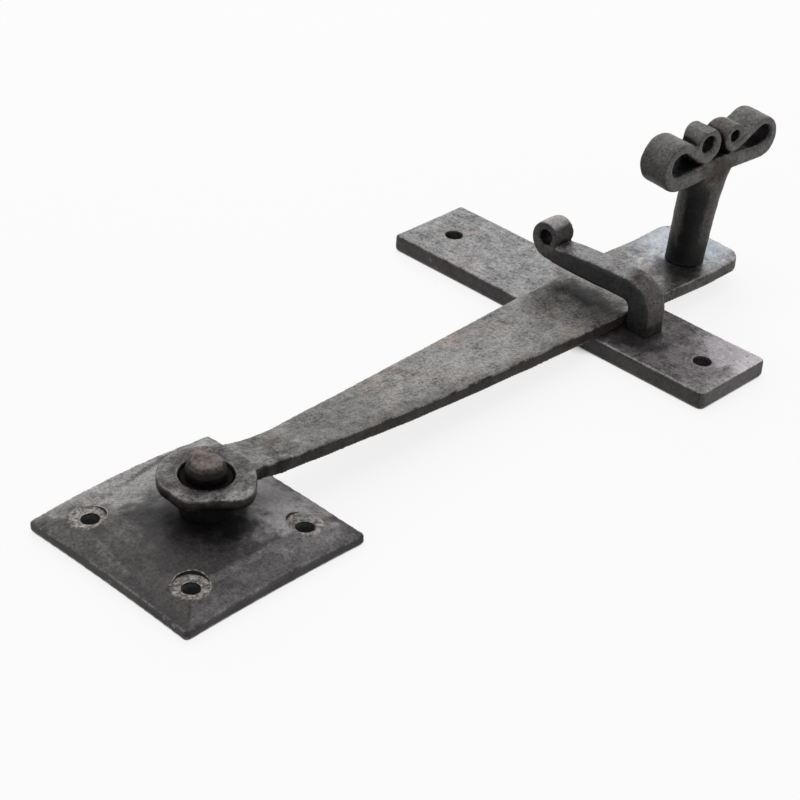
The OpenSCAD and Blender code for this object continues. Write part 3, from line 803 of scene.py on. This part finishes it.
# Each bore is painted dark to its foot: painted shade down the holes.
shaded_bores = tuple(((x * SCREWS / 2, y * SCREWS / 2, 1.5), (4, 4, 3), PIT_AND_BORE_SHADE, 1)
              for x in (-1, 1) for y in (-1, 1))
settle(pivot_plate(), "pivot_plate", "fixed", forged_iron(
    "plate iron", scale=(0.024, 0.022, 0.022), brushed_and_lit=(0.038, 0.034, 0.035),
    from_up=0.5, to_up=0.97, seed=3, shine=0.32, washes_light_and_shade=(
        # painted light, a reflection of the bright backdrop, on the plate's slopes and rim
        ((8, -34, 5), (34, 8, 6), (0.1, 0.092, 0.096), 0.7),  # the near slope
        ((24, -8, 7), (22, 28, 8), (0.39, 0.37, 0.385), 0.85),  # the slopes: toward the keeper, the other end, the far side and its rim
        ((-32, 18, 6), (15, 26, 7), (0.15, 0.141, 0.135), 0.7),  # the other end,
        ((8, 33, 7), (40, 17, 7), (0.29, 0.28, 0.27), 0.85),  # the far side
        ((0, 39, 4), (44, 7, 5), (0.3, 0.29, 0.29), 0.75)), sides=(  # and its rim
        # painted light by facing: most toward the far side, less toward the near side, least the other
        # end
        ((0, 1, 0), 0.17, 0.25, (0.27, 0.265, 0.26), (0, 0, 7), (140, 140, 4.4)),
        ((0, -1, 0), 0.17, 0.25, (0.12, 0.115, 0.12), (0, 0, 7), (140, 140, 4.4)),
        ((-1, 0, 0), 0.17, 0.25, (0.06, 0.056, 0.054), (0, 0, 7), (140, 60, 4.4))), stains_and_shade=shaded_bores + (
        ((3, -2, 9), (21, 21, 5), (0.007, 0.007, 0.008), 0.92),)), crisp=True)  # painted shadow under the eye
settle(pivot_stud(), "pivot_stud", "fixed", forged_iron(
    "stud iron", scale=(0.009, 0.007, 0.006), brushed_and_lit=(0.13, 0.108, 0.098),
    from_up=0.6, to_up=0.97, seed=7, warm=0.8, worn=0.5,
    shine=0.15, stains_and_shade=(
        ((STUD_X, 0, 22.6), (20, 20, 3.4), (0.004, 0.003, 0.003), 1),)))  # painted shade below the head
# nearly black all over: painted shade, for it stands in the eye's shadow
settle(pivot_collar(), "pivot_collar", "fixed", forged_iron(
    "collar iron", scale=(0.006, 0.006, 0.006), brushed_and_lit=(0.01, 0.01, 0.01),
    from_up=0.5, to_up=0.95, seed=13, shine=0.08, worn=0))
# nearly black all over: painted shade, down in the well under the head
settle(pivot_washer(), "pivot_washer", "fixed", forged_iron(
    "washer iron", scale=(0.004, 0.004, 0.004), brushed_and_lit=(0.005, 0.005, 0.005),
    from_up=0.5, to_up=0.95, seed=17, shine=0.02, worn=0))
settle(latch_bar(), "latch_bar", "bar", forged_iron(
    "bar iron", scale=(0.033, 0.029, 0.027), brushed_and_lit=(0.24, 0.233, 0.227),
    from_up=0.62, to_up=0.95, seed=19, shine=0.1, metal=0.85,
    gloss=(0.34, 0.45), rub_along=(0.12, 1, 1), sides=(
        # painted light on the near edge past the hook, and painted shade on the arris from neck to hook
        ((0.2, -0.97, 0), 0.5, 0.85, (0.085, 0.08, 0.077), (256, -12, 9), (44, 26, 12)),
        ((0.05, -0.62, 0.78), 0.86, 0.97, (0.07, 0.066, 0.063), (115, -11, 15), (95, 14, 18))), washes_light_and_shade=(
        ((140, 3, 14), (66, 10, 12), (0.275, 0.268, 0.262), 0.6),  # lighter along the middle, darker along its near edge
        ((85, -10.5, 16), (60, 6.5, 14), (0.125, 0.118, 0.113), 0.8),  # darker along its near edge
        ((160, -14.5, 12), (42, 7.5, 12), (0.13, 0.124, 0.119), 0.8),
        ((3, 0, 24), (20, 20, 8), (0.059, 0.055, 0.056), 0.92),  # the eye
        ((60, 0, 22), (45, 20, 14), (0.15, 0.146, 0.142), 0.7),  # the neck
        ((276, 9, 12), (30, 22, 8), (0.5, 0.53, 0.585), 0.95),  # painted reflection of the bright backdrop on the end
        ((208, 6, 12), (8, 22, 5), (0.04, 0.037, 0.037), 0.88),  # painted shadow and reflection of the hook's arm
        ((252, -2, 12), (12, 11, 4), (0.05, 0.047, 0.05), 0.85),  # painted shadow and reflection of the post at its foot
        ((35, 2, 23), (7, 4, 4), (0.13, 0.088, 0.078), 0.6)), stains_and_shade=(  # rust at the neck
        ((STUD_X, 0, 22.1), (10.6, 10.6, 2.2), (0.008, 0.007, 0.007), 1),  # painted shade in the well round the washer painted shade on the eye's side
        ((STUD_X, 0, 20.2), (34, 34, 3), (0.003, 0.0025, 0.0025), 1))))  # the eye's side
settle(horn_handle(), "ram_horn_handle", "bar", forged_iron(
    "handle iron", scale=(0.064, 0.06, 0.058), brushed_and_lit=(0.132, 0.128, 0.126),
    from_up=0.25, to_up=0.95, seed=29, shine=0.2, worn=0,
    sides=(  # painted reflection darkens the post's front; painted light on the straps' near edges
        ((-0.847, -0.531, 0), 0.8, 0.93, (0.003, 0.0035, 0.003), (262, 0, 25), (60, 60, 32)),
        ((-0.102, -0.995, 0), 0.8, 0.95, (0.118, 0.112, 0.109), (267, 0, 65), (90, 90, 20))), washes_light_and_shade=(
        ((237, 3, 57), (8, 14, 13), (0.068, 0.064, 0.063), 0.85),), stains_and_shade=(  # the near loop's back
        ((261, 0, 13), (17, 17, 15), (0.004, 0.0045, 0.004), 1),  # painted shade at the post's foot
        ((266.5, -7, 54), (10, 6, 6), (0.04, 0.024, 0.02), 0.95))))  # rust in the split
settle(keeper_plate(), "keeper_plate", "fixed", forged_iron(
    "keeper iron", scale=(0.036, 0.032, 0.031), brushed_and_lit=(0.285, 0.283, 0.286),
    from_up=0.6, to_up=0.95, seed=31, shine=0.3, metal=0.8,
    gloss=(0.38, 0.5), rub_along=(1, 0.15, 1), worn=0.2, sides=(
        # painted light on the face of the near end
        ((0, -1, 0), 0.5, 0.85, (0.075, 0.069, 0.068), (218, -64, 4), (36, 20, 14)),), washes_light_and_shade=(
        ((212, -42, 7), (40, 38, 10), (0.225, 0.205, 0.21), 0.9),  # the near half, its bright corner and painted shadow at the hook's foot
        ((227, -58, 7), (17, 26, 6), (0.54, 0.51, 0.54), 0.9),  # its bright corner
        ((207, -20, 7), (14, 16, 5), (0.03, 0.027, 0.027), 0.8))))  # and the hook's foot
settle(keeper_hook(), "keeper_hook", "fixed", forged_iron(
    "hook iron", scale=(0.028, 0.027, 0.028), brushed_and_lit=(0.22, 0.216, 0.218),
    from_up=0.6, to_up=0.96, seed=43, shine=0.2, metal=0.4,
    worn=0, sides=(
        # painted light on the faces toward the near side
        ((0, -1, 0.25), 0.55, 0.9, (0.082, 0.076, 0.072), (213, -20, 20), (60, 60, 60)),), washes_light_and_shade=(
        ((213, -14, 23), (9, 11, 6), (0.048, 0.04, 0.035), 1),  # the bend
        ((213, 30, 31), (10, 10, 8), (0.36, 0.335, 0.335), 0.8)), stains_and_shade=(  # the scroll's top, its side and painted shade at the leg's foot
        ((206, 32, 27), (3.5, 9, 9), (0.07, 0.066, 0.063), 0.9),  # its side
        ((212, -19, 7), (12, 12, 6.5), (0.012, 0.013, 0.012), 1))))  # and the leg's foot


# --- camera, light and floor ------------------------------------------------------------------

RIGHT = Vector((0.6968239, -0.7149664, 0.0570916))
DOWN = Vector((-0.3530053, -0.4111585, -0.8404380))
AHEAD = Vector((0.6243586, 0.5654837, -0.5388920))
STAND = Vector((-409.440, -457.889, 450.180)) * MM
FRAME, FOCAL = 800, 2260.02  # the picture's width and the lens's length, both in pixels
view = bpy.data.cameras.new("camera")
view.sensor_width = 36
view.lens = FOCAL * view.sensor_width / FRAME
view.clip_start, view.clip_end = 0.02, 20
camera = bpy.data.objects.new("camera", view)
bpy.context.scene.collection.objects.link(camera)
camera.matrix_world = Matrix((RIGHT, -DOWN, -AHEAD)).transposed().to_4x4()
camera.location = STAND
bpy.context.scene.camera = camera


def soft_lamp(name, place, aim, wide, power):
    """A wide round lamp that isn't mirrored in the iron."""
    lamp = bpy.data.lights.new(name, "AREA")
    lamp.shape, lamp.size, lamp.energy = "DISK", wide, power
    stand = bpy.data.objects.new(name, lamp)
    bpy.context.scene.collection.objects.link(stand)
    stand.location, stand.visible_glossy = place, False
    stand.rotation_mode = "QUATERNION"
    stand.rotation_quaternion = (Vector(aim) - Vector(place)).to_track_quat("-Z", "Y")


MIDDLE = (0.12, 0, 0)
soft_lamp("back lamp", (1.6, 1.7, 0.95), MIDDLE, wide=2.0, power=24)
soft_lamp("top lamp", (0.3, 0.3, 1.8), MIDDLE, wide=1.6, power=11)


# White wherever it is seen, and a plain half of that on the object.
bpy.context.scene.world = bpy.data.worlds.new("studio")
studio = Finish(bpy.context.scene.world)
around = studio.node("ShaderNodeBackground", {}, {
    "Color": (1, 1, 1, 1), "Strength": 0.5 + studio.white_for_view() * 0.5})
studio.node("ShaderNodeOutputWorld", {}, {"Surface": around})

# A pale matt floor that glows white away from the object and keeps its shadow under it.
bench()
bpy.ops.mesh.primitive_plane_add(size=8, location=(0.12, 0, -0.0003))
floor = bpy.context.object
floor.name = "floor"
pale = Finish(bpy.data.materials.new("pale floor"))
matt = pale.node("ShaderNodeBsdfDiffuse", {}, {"Color": (0.9, 0.9, 0.9, 1)})
glow = pale.node("ShaderNodeEmission", {}, {})
clear = pale.node("ShaderNodeAmbientOcclusion", {}, {"Distance": 10 * MM}, out="AO")
clear = pale.node("ShaderNodeMapRange", {}, {
    "Value": clear, "From Min": 0.2, "From Max": 0.42, "To Max": 0.82})
shown = pale.node("ShaderNodeMixShader", {}, {0: pale.white_for_view() * clear, 1: matt, 2: glow})
pale.node("ShaderNodeOutputMaterial", {}, {"Surface": shown})
floor.data.materials.append(pale.owner)

bpy.context.scene.view_settings.view_transform = "Standard"
